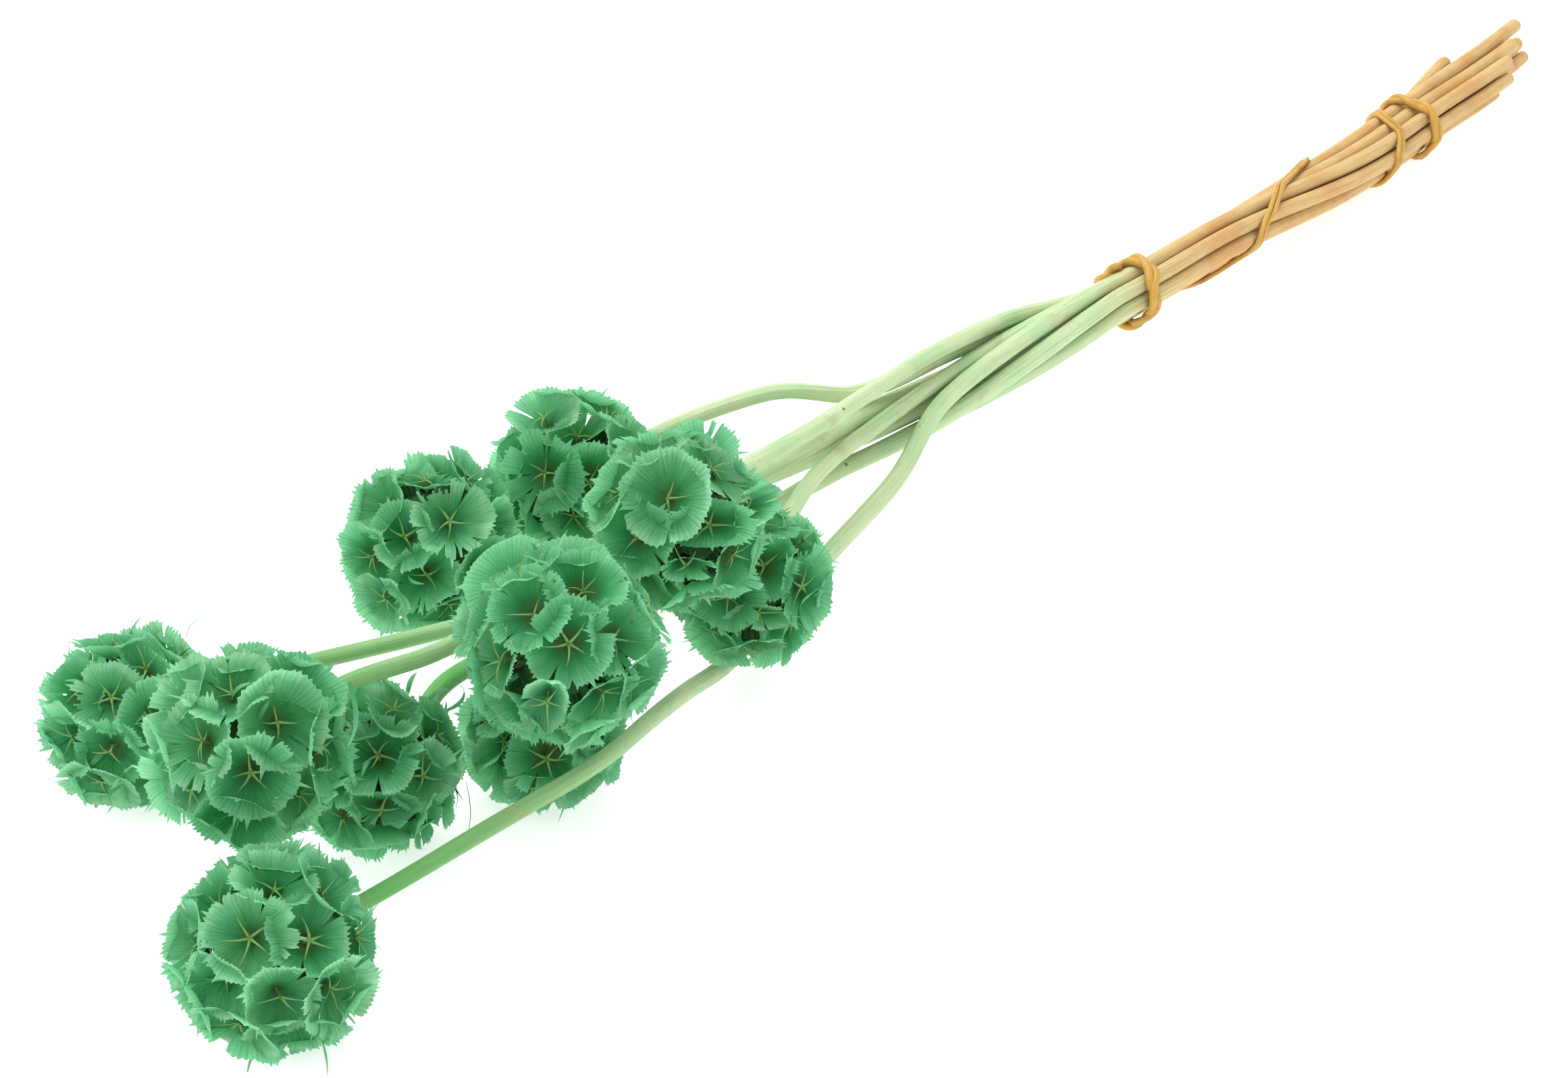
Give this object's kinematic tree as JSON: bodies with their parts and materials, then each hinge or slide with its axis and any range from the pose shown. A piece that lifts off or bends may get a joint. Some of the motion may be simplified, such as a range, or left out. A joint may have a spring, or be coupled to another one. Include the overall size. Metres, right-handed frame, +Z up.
{
  "type": "dried scabiosa bunch",
  "caption": "Tied bunch of dried scabiosa seed heads: balls of papery toothed funnels on thin ribbed stems, lying down, held together by a wound rubber band.",
  "frame": {"origin": "middle of the bunch's outline seen from above, on the surface it lies on", "axes": "+X from the heads along the stems to the cut ends, +Y across the bunch, +Z up"},
  "size_m": [0.5525, 0.1266, 0.0761],
  "materials": {
    "dyed_head": "dry, papery, translucent at the rims, matt",
    "stem": "dry plant stem, finely ribbed, satin",
    "rubber_band": "smooth natural rubber, slight sheen"
  },
  "bodies": {
    "root": {"head_01": "dyed_head", "head_02": "dyed_head", "head_03": "dyed_head", "head_04": "dyed_head", "head_05": "dyed_head", "head_06": "dyed_head", "head_07": "dyed_head", "head_08": "dyed_head", "head_09": "dyed_head", "head_10": "dyed_head", "stem_01": "stem", "stem_02": "stem", "stem_03": "stem", "stem_04": "stem", "stem_05": "stem", "stem_06": "stem", "stem_07": "stem", "stem_08": "stem", "stem_09": "stem", "stem_10": "stem", "rubber_band": "rubber_band"}
  },
  "joints": []
}
